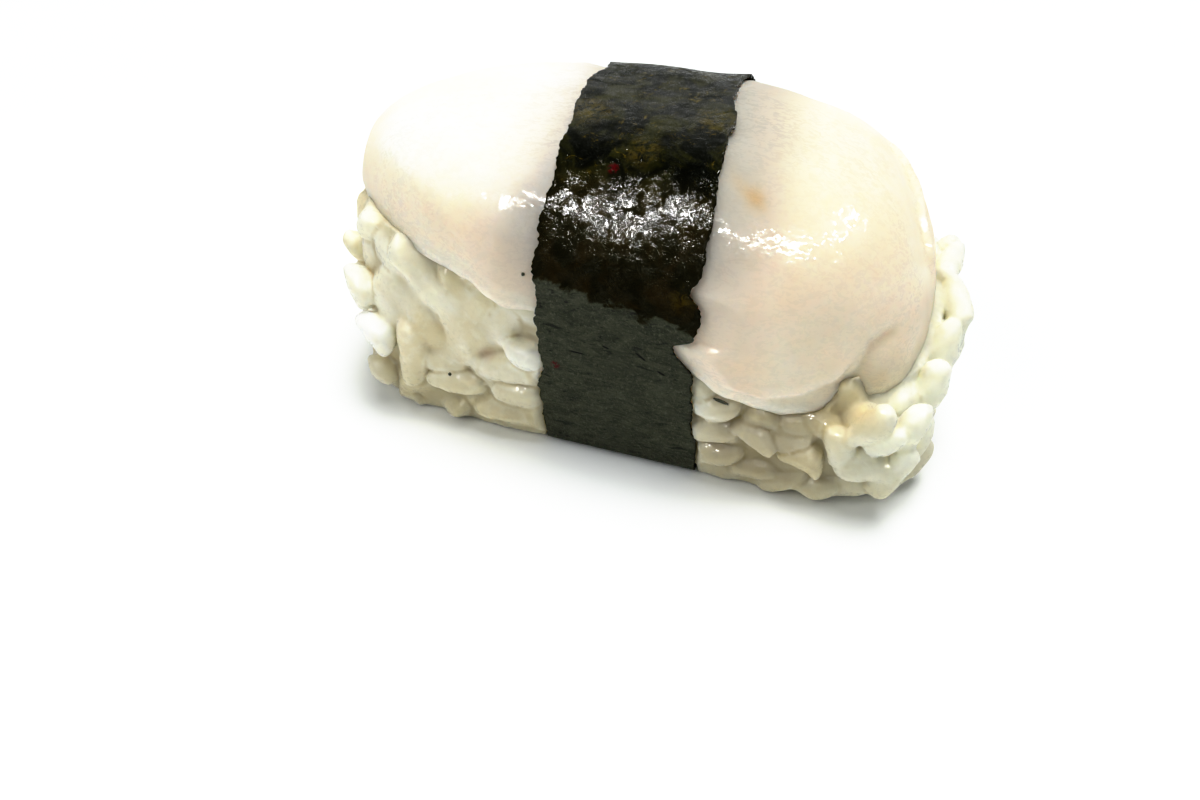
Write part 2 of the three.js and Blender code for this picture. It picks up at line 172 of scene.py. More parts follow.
# Grains seen at the front and at the ends: middle, way of the long axis, length, girth, whiteness
CHOSEN_GRAINS = [
    ((-23.3, -13.4, 9.0), (2.6, -0.3, -3.9), 5.0, 0.98, 1.0),
    ((-24.2, -12.8, 3.5), (2.1, -0.2, -2.8), 3.8, 0.78, 1.0),
    ((-19.9, -13.7, 7.4), (-0.7, 0, -8.1), 8.0, 0.88, 0.25),
    ((-21.4, -12.7, 1.3), (2.1, -0.8, 0.3), 3.2, 0.7, 0.3),
    ((-15.5, -13.9, 5.4), (5.8, 0, 0.5), 6.2, 0.8, 0.1),
    ((-16.1, -13.2, 1.6), (2.6, -2.0, 0.4), 3.9, 0.82, 0.5),
    ((-8.0, -13.9, 10.8), (3.9, 0, -0.6), 4.4, 0.88, 0.9),
    ((-9.7, -13.6, 8.1), (6.3, 0, 0.2), 6.3, 0.85, 0.4),
    ((-8.8, -13.9, 5.7), (5.4, 0, 0), 5.6, 0.8, 0.3),
    ((-9.9, -13.7, 3.0), (7.7, 0, 0.2), 7.4, 1.0, 0.35),
    ((-9.9, -12.7, 0.9), (7.1, 0, 0.2), 6.6, 0.7, 0),
    ((-12.8, -13.2, 3.9), (2.4, 0, 2.0), 4.4, 0.7, 0),
    ((9.2, -13.8, 9.1), (4.1, 0, 0.6), 4.6, 0.74, 0.5),
    ((9.3, -13.7, 6.2), (3.7, 0, 1.0), 4.6, 0.76, 0.4),
    ((9.9, -13.8, 3.7), (4.8, 0, 0.7), 5.2, 0.76, 0.5),
    ((10.3, -13.0, 1.2), (3.7, 0, 0.3), 4.6, 0.7, 0.1),
    ((13.3, -14.1, 7.0), (3.6, -0.4, -2.0), 4.5, 0.72, 0.35),
    ((13.4, -13.4, 9.0), (2.6, 0, 0.4), 3.6, 0.7, 0.2),
    ((13.5, -13.7, 2.5), (3.9, 0, 0.9), 4.6, 0.66, 0.5),
    ((16.3, -13.5, 2.0), (3.4, 0, 2.7), 5.0, 0.7, 0.2),
    ((19.1, -13.3, 1.7), (3.4, 0, 0.3), 4.2, 0.8, 0.3),
    ((17.9, -13.9, 5.4), (3.0, 0, -1.6), 4.2, 0.8, 0.2),
    ((20.3, -13.9, 7.9), (0.9, 0, -3.9), 4.6, 0.78, 0.3),
    ((22.2, -14.0, 11.0), (2.6, 0, 4.5), 5.6, 0.8, 0.2),
    ((22.9, -13.8, 5.9), (4.3, 0, 1.6), 5.2, 0.72, 0.9),
    ((25.2, -13.3, 5.6), (1.9, -0.4, 6.0), 7.0, 0.84, 0.5),
    ((25.6, -12.6, 10.4), (0.6, 0.5, 4.7), 5.4, 0.8, 0.3),
    ((23.9, -13.9, 9.6), (2.3, 0, 2.6), 4.0, 0.7, 0.4),
    ((16.3, -12.9, 8.4), (3.1, 0, 0), 3.9, 0.75, 0),
    ((18.9, -12.7, 11.4), (3.2, 0, -0.4), 4.2, 0.75, 0),
    ((26.9, -7.2, 11.6), (0.3, 1.4, 5.0), 5.6, 0.86, 0.2),
    ((27.3, -3.6, 13.4), (0.2, 1.6, 5.4), 6.4, 0.95, 0.2),
    ((27.2, 0.6, 11.6), (0, 2.2, 4.0), 6.0, 0.9, 0.1),
    ((27.7, 0.2, 17.0), (1.4, -3.4, -1.4), 5.0, 0.8, 0.5),
    ((26.7, 4.4, 18.2), (0.6, 3.0, 0.6), 5.0, 0.8, 0.3),
    ((26.6, -10.2, 7.2), (0.4, 1.6, 4.0), 5.0, 0.8, 0.3),
    ((27.0, -5.4, 6.6), (0.2, 3.4, 2.0), 5.0, 0.85, 0.2),
    ((-28.0, -3.4, 16.0), (-0.6, 2.4, 1.4), 4.6, 0.8, 0.2),
    ((-27.4, -7.4, 14.2), (0.4, 2.0, -2.6), 4.8, 0.85, 0.1),
    ((-26.7, -9.4, 10.6), (1.0, -2.0, -3.2), 4.8, 0.9, 0.2),
    ((-25.2, -11.6, 12.8), (1.6, -0.8, -3.0), 4.6, 0.9, 0.3),
    ((-26.4, -8.6, 4.4), (0.6, -2.2, 2.6), 5.0, 0.85, 0.2),
    ((21.9, -13.3, 6.9), (3.0, 0, 0.6), 4.4, 0.8, 0.2),
    ((15.9, -13.4, 7.1), (3.0, 0, -0.5), 4.0, 0.75, 0.1),
    ((-16.6, -13.3, 7.3), (3.0, 0, 0.2), 4.6, 0.8, 0.1),
]
# Grains that fill hollows behind the others, in the same terms
FILLER_GRAINS = [
    ((24.2, -11.9, 7.2), (0.5, 0.3, 4.0), 6.6, 1.0, 0.1),
    ((27.9, -1.9, 12.4), (0.1, 1.2, 3.5), 5.5, 0.85, 0.2),
]
SEAM_WIDTH = 0.6  # how wide the pale and tan lines between grains are: painted light and painted shade
MARK_BLEND = 0.12  # over which one grain's colour turns into the next one's
BEHIND_BAND = {"inset": 0.4, "depth": 9}  # where no scattered grain is needed
RICE_LOW = (-32.5, -17.5, -1.0)  # corners of the grid
RICE_HIGH = (32.5, 17.5, 25.5)
RICE_VOXEL = 0.22  # the grid's step
RICE_MERGE = 0.12  # how readily level faces of the rice are merged
RICE_RELAX = 2  # rounds of evening out the grid's steps
SLICE_SINK = 0.45  # how far the core presses into the slice
GRAIN_SINK = 0.7  # how much further a grain may
SETTLE = {"tries": 12, "step": 0.35}  # how often and how far a grain is moved down
# How far the core may stand out at the slice's rim and in its notch, and how much more each
# degree below
LEDGE = {"rim": 0.9, "notch": -0.2, "slope": 0.45}
CORE_OUT = 0.85  # how far the core between the grains stands out of the block's face
CORE_SLOPE = 0.03  # keeps its distances finite in its middle
STICK = {"loose": 0.14, "fused": 0.42}  # radius over which neighbouring lumps run together
CUT_ROUND = 0.12  # radius of the rounding where rice meets slice, band or floor
BAND_CLEAR = 0.1  # how far the rice keeps from the band
FLOOR_CUT = 0.1  # height of the rounding at the floor
# Where the grains are fused: swell is how far the core stands out there
FUSED_PATCH = {"middle": (-16.8, -13.0, 12.2), "half": (6.6, 6, 4.6), "swell": 0.5, "edge": 0.35}
FAR = 60  # further than any face is from its middle
TURN_TABLE = np.linspace(-math.pi, math.pi, 1441)  # turns at which the rim is worked out for rice


# Values drawn from whole numbers, and smooth unevenness

def chance(n):
    """The same scattered value from 0 to 1 each time for one whole number."""
    value = math.sin(n * 127.1 + 311.7) * 43758.5453
    return value - math.floor(value)


def lattice(x, y, z, seed):
    """Scattered values from -1 to 1 for places in whole numbers."""
    mixed = (x * 73856093) ^ (y * 19349663) ^ (z * 83492791) ^ (seed * 961748927)
    mixed = (mixed ^ (mixed >> 13)) * 1274126177
    mixed = mixed ^ (mixed >> 16)
    return (mixed & 0xFFFFFF) / 0x7FFFFF - 1


def between(cell, t, value):
    """Mean of the values at the eight corners of each cell, by the shares t of the way through it."""
    total = 0
    for corner in itertools.product((0, 1), repeat=3):
        weight = 1
        for k in range(3):
            weight = weight * (t[..., k] if corner[k] else 1 - t[..., k])
        total = total + weight * value(*(cell[..., k] + corner[k] for k in range(3)))
    return total


def uneven(points, size, seed=0):
    """Smooth noise from -1 to 1 with lumps of the given size."""
    at = np.asarray(points, float) / size
    cell = np.floor(at).astype(np.int64)
    t = at - cell
    t = t * t * t * (t * (t * 6 - 15) + 10)
    return between(cell, t, lambda *places: lattice(*places, seed))


def waves(points, sizes, seed=0):
    """Noises of some sizes and heights added together."""
    return sum(height * uneven(points, size, seed + k) for k, (size, height) in enumerate(sizes))


def smooth_step(value, low, high):
    t = np.clip((value - low) / (high - low), 0, 1)
    return t * t * (3 - 2 * t)


def through_values(values, at):
    """Smooth closed curve through evenly spaced values."""
    values = np.asarray(values, float)
    first = np.floor(at).astype(int)
    t = at - first
    a, b, c, d = (values[(first + k) % len(values)] for k in (-1, 0, 1, 2))
    return b + 0.5 * t * (c - a + t * (2 * a - 5 * b + 4 * c - d + t * (3 * (b - c) + d - a)))


def direction(turn, tilt):
    """Unit vectors at a turn from the right end and a tilt from straight up."""
    level = np.sin(tilt)
    return np.stack([level * np.cos(turn), level * np.sin(turn), np.cos(tilt) + 0 * turn], -1)


def from_hub(turn, tilt, reach):
    """Points at a reach from the hub."""
    return direction(turn, tilt) * np.asarray(reach)[..., None] + np.array([0, 0, HUB_HEIGHT])


# Shape of the slice

def slice_reach(way):
    """Reach of the slice's upper face from the hub, along unit directions."""
    x, y, z = way[..., 0], way[..., 1], way[..., 2]
    left_share = 0.5 - 0.5 * np.tanh(LOBE_BLEND * x)
    long, up, plan, upright = (RIGHT_LOBE[name] + (LEFT_LOBE[name] - RIGHT_LOBE[name]) * left_share
                               for name in ("long", "up", "plan", "upright"))
    wide = np.where(y > 0, SLICE["back"], SLICE["front"])
    high = np.where(z > 0, up, SLICE["down"])
    flat = np.abs(x / long) ** plan + np.abs(y / wide) ** plan
    return (flat ** (upright / plan) + np.abs(z / high) ** upright) ** (-1 / upright)


def rim_tilt(turn):
    degrees = np.degrees(turn)
    away = (degrees - RIM_NOTCH["turn"] + 540) % 360 - 180
    notch = RIM_NOTCH["depth"] * np.exp(-(away / RIM_NOTCH["half"]) ** 2)
    return np.radians(through_values(RIM_TILTS, degrees / 15) - notch)


def lip_tilt(turn):
    rim = rim_tilt(turn)
    return rim - SLICE["lip"] / slice_reach(direction(turn, rim))


def slice_thickness(share):
    return SLICE["thickness"] + (2 * SLICE["lip"] - SLICE["thickness"]) * share * share

# Shape of the band: angle 0 is the front and a quarter turn the top

def band_reach(angle, x, grow):
    """Reach of the band's rippled face, grown by grow, from its middle line."""
    upper = np.sin(angle) >= 0
    high = np.where(upper, BAND["up"], BAND["down"]) + grow
    power = np.where(upper, BAND_POWERS["up"], BAND_POWERS["down"])
    across = np.abs(np.cos(angle) / (BAND["wide"] + grow)) ** power
    plain = (across + np.abs(np.sin(angle) / high) ** power) ** (-1 / power)
    ripple = np.sin(BAND_RIPPLE["along"] * angle + BAND_RIPPLE["across"] * x)
    return plain + BAND_RIPPLE["height"] * np.maximum(np.sin(angle), 0) * ripple


def band_place(angle, x, grow):
    """Points on the band's face."""
    reach = band_reach(angle, x, grow)
    rise = reach * np.sin(angle) * (1 + np.where(np.sin(angle) > 0, BAND_RISE * x, 0))
    lean = 1 + BAND_LEAN * rise / BAND["middle"]
    return np.stack([x + 0 * angle, -reach * np.cos(angle) * lean, BAND["middle"] + rise], -1)


def band_edge(line, start, bumps, angle):
    """One torn edge of the strip: its line with waves, and with bumps where it leaves it."""
    torn = sum(depth * np.sin(count * angle + (i + 1) * start)
               for i, (count, depth) in enumerate(BAND_TEARS))
    gaps = [np.degrees(angle) - bump[0] for bump in bumps]
    led = sum(reach * np.exp(-(gap / np.where(gap < 0, below, above)) ** 2)
              for gap, (_middle, below, above, reach) in zip(gaps, bumps))
    return line + torn + led


def band_edges(angle):
    return (band_edge(BAND["left"], 1, LEFT_EDGE_BUMPS, angle),
            band_edge(BAND["right"], 4, RIGHT_EDGE_BUMPS, angle))


def past_edges(angle, x, spare):
    """How much further than spare places lie outside the strip's edges."""
    left, right = band_edges(angle)
    return np.maximum(np.maximum(left - x, x - right) - spare, 0)


def band_depth(points, grow):
    """How far points lie inside the band's face, along the line from its middle, and their angle."""
    x = points[..., 0]
    rise = points[..., 2] - BAND["middle"]
    lean = 1 + BAND_LEAN * rise / BAND["middle"]
    level = rise / (1 + np.where(rise > 0, BAND_RISE * x, 0))
    ahead = -points[..., 1] / lean
    angle = np.arctan2(level, ahead)
    return band_reach(angle, x, grow) - np.hypot(level, ahead), angle


# Meshes

def link(name, data):
    """A new object in the scene."""
    made = bpy.data.objects.new(name, data)
    bpy.context.scene.collection.objects.link(made)
    return made


def make_object(name, points, faces, material):
    """Mesh object from points in metres and groups of faces with as many corners each."""
    mesh = bpy.data.meshes.new(name)
    mesh.from_pydata(points.tolist(), [], [face for group in faces for face in group.tolist()])
    mesh.materials.append(material)
    return link(name, mesh)


def make_piece(name, points, faces, material, marks):
    """Mesh object from points in millimetres, with a number per point for each mark."""
    piece = make_object(name, points * MM, faces, material)
    piece.data.validate()
    piece.data.shade_smooth()
    for mark, values in marks.items():
        layer = piece.data.attributes.new(mark, "FLOAT", "POINT")
        layer.data.foreach_set("value", np.asarray(values, np.float32).ravel())
    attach(piece, "root")
    return piece


def quads_between(row, next_row, column, next_column):
    """Quads over a net of points, from the numbers of their corners' rows and columns."""
    corners = [row + column, next_row + column, next_row + next_column, row + next_column]
    return np.stack(corners, -1).reshape(-1, 4)


def skin_faces(rows, columns):
    """Quads over rows that close round, with one point at each end of the rows: first and last."""
    column = np.arange(columns)
    beside = (column + 1) % columns
    row = 1 + columns * np.arange(rows - 1)[:, None]
    last = 1 + rows * columns
    bottom = last - columns
    fans = np.concatenate([
        np.stack([np.zeros(columns, int), 1 + column, 1 + beside], -1),
        np.stack([np.full(columns, last), bottom + beside, bottom + column], -1)])
    return [quads_between(row, row + columns, column, beside), fans]


# Slice of scallop

def fold_relief(base, outward):
    """Ridges, grooves and steps along the slice's fold lines, in millimetres for each point."""
    relief = np.zeros(base.shape[:-1])
    for places, ridge, half, step in FOLDS:
        turns, tilts = (np.radians(np.array(values, float)) for values in zip(*places))
        line = from_hub(turns, tilts, slice_reach(direction(turns, tilts)))
        nearest = np.full(relief.shape, np.inf)
        side = np.zeros(relief.shape)
        fade = np.zeros(relief.shape)
        count = len(line) - 1
        for k in range(count):
            along = line[k + 1] - line[k]
            share = np.clip(((base - line[k]) @ along) / (along @ along), 0, 1)
            offset = base - line[k] - share[..., None] * along
            away = np.linalg.norm(offset, axis=-1)
            turned = (np.cross(along, outward) * offset).sum(-1)
            closer = away < nearest
            nearest = np.where(closer, away, nearest)
            side = np.where(closer, np.sign(turned), side)
            fade = np.where(closer, (k + share) / count, fade)
        ends = smooth_step(np.minimum(fade, 1 - fade), 0, 0.2)
        relief += ridge * ends * np.exp(-(nearest / half) ** 2)
        if step:
            reach = smooth_step(side * nearest, 0, STEP_WIDTH) * np.exp(-(nearest / STEP_REACH) ** 2)
            relief -= step * ends * reach
    return relief


def spot_share(base, turn, tilt, half, long):
    """How much each point belongs to a round spot on the slice, from 0 to 1."""
    turn, tilt = np.radians(turn), np.radians(tilt)
    offset = base - from_hub(turn, tilt, slice_reach(direction(turn, tilt)))
    downhill = np.array([math.cos(tilt) * math.cos(turn), math.cos(tilt) * math.sin(turn), -math.sin(tilt)])
    along = offset @ downhill
    across = np.sqrt(np.maximum((offset ** 2).sum(-1) - along ** 2, 0))
    return np.exp(-(across / half) ** 2 - (along / long) ** 2)


def held_by_band(turn, tilt, reach):
    """Reach of the upper face once the band holds it down, and how far it is from the band."""
    way = direction(turn, tilt)
    hub = np.array([0, 0, HUB_HEIGHT])
    near, far = np.zeros(reach.shape), np.full(reach.shape, float(FAR))
    for _ in range(24):
        middle = (near + far) / 2
        depth, _angle = band_depth(way * middle[..., None] + hub, -BAND["thickness"] - PINCH_CLEAR)
        inside = depth > 0
        near, far = np.where(inside, middle, near), np.where(inside, far, middle)
    crossing = way * near[..., None] + hub
    _depth, angle = band_depth(crossing, 0)
    outside = past_edges(angle, crossing[..., 0], 0)
    held = 1 - smooth_step(outside, 0, PINCH_WIDTH)
    limit = near + (1 - held) * np.maximum(reach - near, 0)
    return np.minimum(reach, limit), outside


def slice_points():
    """Rows of points from the middle of the upper face to the lip, round it and back underneath."""
    steps, lip = SLICE_STEPS, SLICE["lip"]
    turn = 2 * math.pi * np.arange(steps["around"]) / steps["around"]
    seam = np.stack([RIM_RADIUS * np.cos(turn), RIM_RADIUS * np.sin(turn), 0 * turn], -1)
    start = lip_tilt(turn) + np.radians(RIM_WAVER) * waves(seam, RIM_WAVES, 5)

    share = np.arange(1, steps["upper"] + 1)[:, None] / steps["upper"]
    share = share * (1.35 - 0.35 * share)  # closer rows towards the lip
    tilt = start * share
    turns = np.broadcast_to(turn, tilt.shape)
    way = direction(turns, tilt)
    plain = slice_reach(way)
    base = from_hub(turns, tilt, plain)
    relief = waves(base, SLICE_UNEVEN, 11) + fold_relief(base, way)
    relief += FLAP_HEIGHT * spot_share(base, *FLAP) - DIMPLE_DEPTH * spot_share(base, *DIMPLE)
    upper, away = held_by_band(turns, tilt, plain + relief * smooth_step(tilt, *SMOOTH_TOP))
    rows = [from_hub(turns, tilt, upper)]
    aways = [away]
    drops = [spot_share(base, *DROP) + DROP_TIP_SHARE * spot_share(base, *DROP_TIP)]
    to_rim = [(start - tilt) * plain]

    inner = plain[-1] - 2 * lip
    top = np.maximum(upper[-1], inner + THINNEST)
    radius = (top - inner) / 2
    centre = (top + inner) / 2
    for step in range(1, steps["lip"] + 1):
        bend = math.pi * step / steps["lip"]
        at = start + radius * math.sin(bend) / centre
        rows.append(from_hub(turn, at, centre + radius * math.cos(bend))[None])
    for step in range(1, steps["under"]):
        share = 1 - step / steps["under"]
        at = start * share
        reach = slice_reach(direction(turn, at)) - slice_thickness(share)
        rows.append(from_hub(turn, at, reach)[None])
    rest = len(rows) - 1
    aways.append(np.tile(away[-1], (rest, 1)))
    to_rim.append(np.zeros((rest, len(turn))))
    drops.append(np.zeros((rest, len(turn))))
    return [np.concatenate(parts) for parts in (rows, aways, to_rim, drops)]


def make_scallop(material):
    rows, away, to_rim, drop = slice_points()
    count, around = rows.shape[:2]
    points = np.concatenate([rows[0].mean(0)[None], rows.reshape(-1, 3), rows[-1].mean(0)[None]])
    marks = {"from_band": np.concatenate([[0], away.ravel(), [0]]),
             "to_rim": np.concatenate([[20], to_rim.ravel(), [0]]),
             "drop": np.concatenate([[0], drop.ravel(), [0]])}
    piece = make_piece("scallop_slice", points, skin_faces(count, around), material, marks)
    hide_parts("scallop")
    return piece


# Band of seaweed

def make_nori(material):
    around, outer_count, inner_count = BAND_STEPS["around"], BAND_STEPS["outer"], BAND_STEPS["inner"]
    # the ring starts and ends underneath
    angle = -math.pi / 2 + 2 * math.pi * (np.arange(around) + 0.5) / around
    left, right = band_edges(angle)
    place = band_place(angle, 0 * angle, 0)
    for sign, edge, seed in ((-1, left, 21), (1, right, 31)):
        edge += sign * waves(np.stack([place[:, 1], place[:, 2], 0 * angle], -1), EDGE_RAGS, seed)
    share = np.concatenate([np.arange(outer_count + 1) / outer_count,
                            1 - np.arange(inner_count + 1) / inner_count])
    columns = len(share)
    x = left[:, None] + (right - left)[:, None] * share
    angles = np.broadcast_to(angle[:, None], x.shape)
    degrees = np.degrees(angles)
    on_outer = (np.arange(columns) <= outer_count)[None, :]
    outer = band_place(angles, x, 0)
    inner = band_place(angles, x, -BAND["thickness"] + BAND_BACK)
    out = outer - band_place(angles, x, -1)
    out /= np.linalg.norm(out, axis=-1, keepdims=True)
    away = np.abs(degrees - BAND_CRINKLED["middle"]) / BAND_CRINKLED["half"]
    least = BAND_CRINKLED["least"]
    crinkled = least + (1 - least) * np.exp(-away ** 4)
    relief = waves(outer, BAND_CRINKLES, 41) * crinkled * smooth_step(outer[..., 2], 0.2, 1.5)
    lift = out * relief[..., None]
    points = np.where(on_outer[..., None], outer + lift, inner + lift * BAND_CRINKLED["inside"])
    points[..., 2] = np.maximum(points[..., 2], 0)

    length = np.concatenate([[0], np.cumsum(np.linalg.norm(np.diff(place, axis=0), axis=1))])
    length -= np.interp(0, angle, length)
    marks = {"round_mm": np.broadcast_to(length[:, None], x.shape), "across_mm": x, "angle_deg": degrees}
    ring = np.arange(around)[:, None]
    column = np.arange(columns)
    quads = quads_between(ring * columns, (ring + 1) % around * columns, column, (column + 1) % columns)
    piece = make_piece("nori_band", points.reshape(-1, 3), [quads[:, ::-1]], material, marks)
    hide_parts("nori")


# Block of rice

def block_terms(x, y, z):
    """How near points come to the block's face along, across and upright."""
    lift = (z - BLOCK["middle"]) / np.where(z > BLOCK["middle"], BLOCK["up"], BLOCK["down"])
    flare = 1 - BLOCK_FLARE * (z - BLOCK["middle"]) / BLOCK["middle"]
    long = np.abs(x / (np.where(x > 0, BLOCK["right"], BLOCK["left"]) * flare))
    wide = np.abs(y / (BLOCK["width"] * flare))
    return long, wide, np.abs(lift)


def block_size(terms):
    """The terms taken together: 1 on the block's face."""
    return sum(term ** power for term, power in zip(terms, BLOCK_POWERS))


def block_side(turn, z):
    """Point of the block's side at one height."""
    near, far = 0.0, float(FAR)
    for _ in range(30):
        middle = (near + far) / 2
        inside = block_size(block_terms(middle * math.cos(turn), middle * math.sin(turn), z)) < 1
        near, far = (middle, far) if inside else (near, middle)
    return np.array([near * math.cos(turn), near * math.sin(turn), z])


def unit(vector):
    return np.asarray(vector, float) / np.linalg.norm(vector)


def named_grains(rows):
    return [{
        "middle": np.array(middle, float),
        "along": unit(along),
        "out": unit((middle[0] / BLOCK["right"] ** 2, middle[1] / BLOCK["width"] ** 2, 0)),
        "length": length,
        "girth": girth,
        "white": white,
    } for middle, along, length, girth, white in rows]


def scattered_grain(draw, least, spread):
    """A grain somewhere on the sides of the block below the slice, drawn from eight chances."""
    pick = [chance(8 * draw + k) for k in range(8)]
    along = (2 * pick[0] - 1) * (BLOCK["right"] + BLOCK["width"])
    past = max(abs(along) - BLOCK["right"], 0)
    front = -1 if pick[1] < 0.5 else 1
    turn = math.atan2(front * (BLOCK["width"] - past), along - math.copysign(past, along))
    turns = np.array(turn)
    rim = rim_tilt(turns)
    top = float(from_hub(turns, rim, slice_reach(direction(turns, rim)))[2])
    height = GRAIN_LOWEST + (top - GRAIN_LOWEST) * pick[2]
    base = block_side(turn, height)
    ahead = unit(block_side(turn + 0.02, height) - base)
    out = np.array([ahead[1], -ahead[0], 0])
    lean = math.pi * pick[4]
    size = GRAIN_SIZES["least"] + GRAIN_SIZES["spread"] * pick[5]
    way = ahead * math.cos(lean) + out * GRAIN_TILT * (pick[6] - 0.5) + np.array([0, 0, math.sin(lean)])
    return {
        "middle": base + out * (least + spread * pick[3]),
        "along": unit(way),
        "out": out,
        "length": GRAIN["length"] * size,
        "girth": (1 + size) / 2,
        "white": 0.6 * max(pick[7] - 0.55, 0) / 0.45,
    }


def patch_share(x, y, z):
    """How much places belong to the patch where the grains are fused, from 0 to 1."""
    away = sum(((at - middle) / half) ** 2
               for at, middle, half in zip((x, y, z), FUSED_PATCH["middle"], FUSED_PATCH["half"]))
    return np.exp(-away ** 2)


def axis_points(grain):
    reach = grain["length"] / 2 - 0.4 * GRAIN["width"] * grain["girth"]
    return grain["middle"] + np.linspace(-reach, reach, 5)[:, None] * grain["along"]


def add_grains(grains, count, draws, spacing, least, spread, in_patch):
    """Adds grains of one layer that keep clear of the band and of the other grains."""
    most = len(grains) + count
    for draw in draws:
        if len(grains) >= most:
            break
        grain = scattered_grain(draw, least, spread)
        if not in_patch and not settled(grain):
            continue
        x, y, z = grain["middle"]
        inset = BEHIND_BAND["inset"]
        behind_band = BAND["left"] + inset < x < BAND["right"] - inset and abs(y) > BEHIND_BAND["depth"]
        if behind_band or (patch_share(x, y, z) > FUSED_PATCH["edge"]) != in_patch:
            continue
        middles = np.array([other["middle"] for other in grains])
        if (np.linalg.norm(middles - grain["middle"], axis=1) >= spacing).all():
            grains.append(grain)


def settled(grain):
    """The grain moved down until the slice only rests on it, or None where it has no room."""
    radius = GRAIN["width"] * grain["girth"] / 2
    for _ in range(SETTLE["tries"]):
        if (sunk_cut(*axis_points(grain).T) < GRAIN_SINK - radius).all():
            return grain
        grain["middle"] = grain["middle"] - np.array([0, 0, SETTLE["step"]])
    return None


def all_grains():
    """The listed grains that find room, the layers of scattered ones and the fillers."""
    grains = [grain for grain in map(settled, named_grains(CHOSEN_GRAINS)) if grain]
    for layer in GRAIN_LAYERS:
        add_grains(grains, *layer)
    return grains + named_grains(FILLER_GRAINS)


def grain_depth(grain, number, x, y, z):
    """Distance outside one grain's skin at some points: a bent bean with round ends."""
    across = unit(np.cross(grain["out"], grain["along"]))
    face = np.cross(grain["along"], across)
    offset = [x - grain["middle"][0], y - grain["middle"][1], z - grain["middle"][2]]
    u, s, f = (sum(offset[k] * axis[k] for k in range(3)) for axis in (grain["along"], across, face))
    radius = GRAIN["width"] * grain["girth"] / 2
    half = grain["length"] / 2 - 0.8 * radius
    bend = GRAIN_BEND * (chance(3 * number + 901) - 0.5)
    s = s + bend * (1 - (u / half) ** 2)
    f = f * GRAIN["width"] / GRAIN["thickness"]
    at = np.clip(u, -half, half) / half
    taper = GRAIN_TAPER * (chance(3 * number + 902) - 0.5)
    girth = radius * (1 - GRAIN_THINNER * at * at + taper * at)
    return np.sqrt((u - at * half) ** 2 + s * s + f * f) - girth


def core_depth(x, y, z):
    """Distance outside the block's face, roughly."""
    terms = block_terms(x, y, z)
    reaches = (BLOCK["right"], BLOCK["width"], BLOCK["up"])
    steep = sum((power * term ** (power - 1) / reach) ** 2
                for term, power, reach in zip(terms, BLOCK_POWERS, reaches))
    return np.clip((block_size(terms) - 1) / (np.sqrt(steep) + CORE_SLOPE), -3, 6)


def from_hub_point(x, y, z):
    """How far points are from the hub, their tilt and turn, and how far the slice's face is there."""
    rise = z - HUB_HEIGHT
    level = np.hypot(x, y)
    reach = np.sqrt(level ** 2 + rise ** 2) + 1e-6
    tilt = np.arctan2(level, rise + 0 * level)
    turn = np.arctan2(y, x) + 0 * rise
    face = slice_reach(np.stack([x / reach, y / reach, rise / reach], -1))
    return reach, tilt, turn, face


def slice_cut(x, y, z):
    """How far points reach into the slice or above its underside; negative where rice may be."""
    reach, tilt, turn, face = from_hub_point(x, y, z)
    rim = lip_tilt(TURN_TABLE)
    start = np.interp(turn, TURN_TABLE, rim)
    below = reach - (face - slice_thickness(np.clip(tilt / start, 0, 1)))
    edge = np.interp(turn, TURN_TABLE, slice_reach(direction(TURN_TABLE, rim))) - SLICE["lip"]
    to_lip = np.hypot(reach - edge, (tilt - start) * edge)
    return np.where(tilt < start, below, SLICE["lip"] - to_lip)


def band_cut(x, y, z):
    """How far points stick out through the band, positive outside; away from the strip nothing is cut."""
    places = np.stack(np.broadcast_arrays(x, y, z), -1)
    inside_band, angle = band_depth(places, -BAND["thickness"] - BAND_CLEAR)
    return -inside_band - 4 * past_edges(angle, places[..., 0], BAND_CLEAR)


def sunk_cut(x, y, z):
    return slice_cut(x, y, z) - SLICE_SINK


def ledge_cut(x, y, z):
    """How far points stand out from under the slice's rim; lower down more and more is left."""
    reach, tilt, turn, face = from_hub_point(x, y, z)
    # the rim counts from where it is lowest within 6 degrees
    lowest = np.max([lip_tilt(TURN_TABLE + math.radians(shift)) for shift in range(-6, 7, 2)], axis=0)
    below = np.degrees(np.maximum(tilt - np.interp(turn, TURN_TABLE, lowest), 0))
    notch = np.exp(-((np.degrees(turn) - RIM_NOTCH["turn"]) / (2.5 * RIM_NOTCH["half"])) ** 2)
    out = LEDGE["rim"] + (LEDGE["notch"] - LEDGE["rim"]) * notch
    return reach - face - out - LEDGE["slope"] * below


def rounded(depth, cut):
    """The greater of two distances, rounded where they meet."""
    return CUT_ROUND * np.logaddexp(depth / CUT_ROUND, cut / CUT_ROUND)


def stuck(depth, soft):
    """What a lump adds where lumps run together."""
    return np.exp(-np.clip(depth / soft, -30, 60))


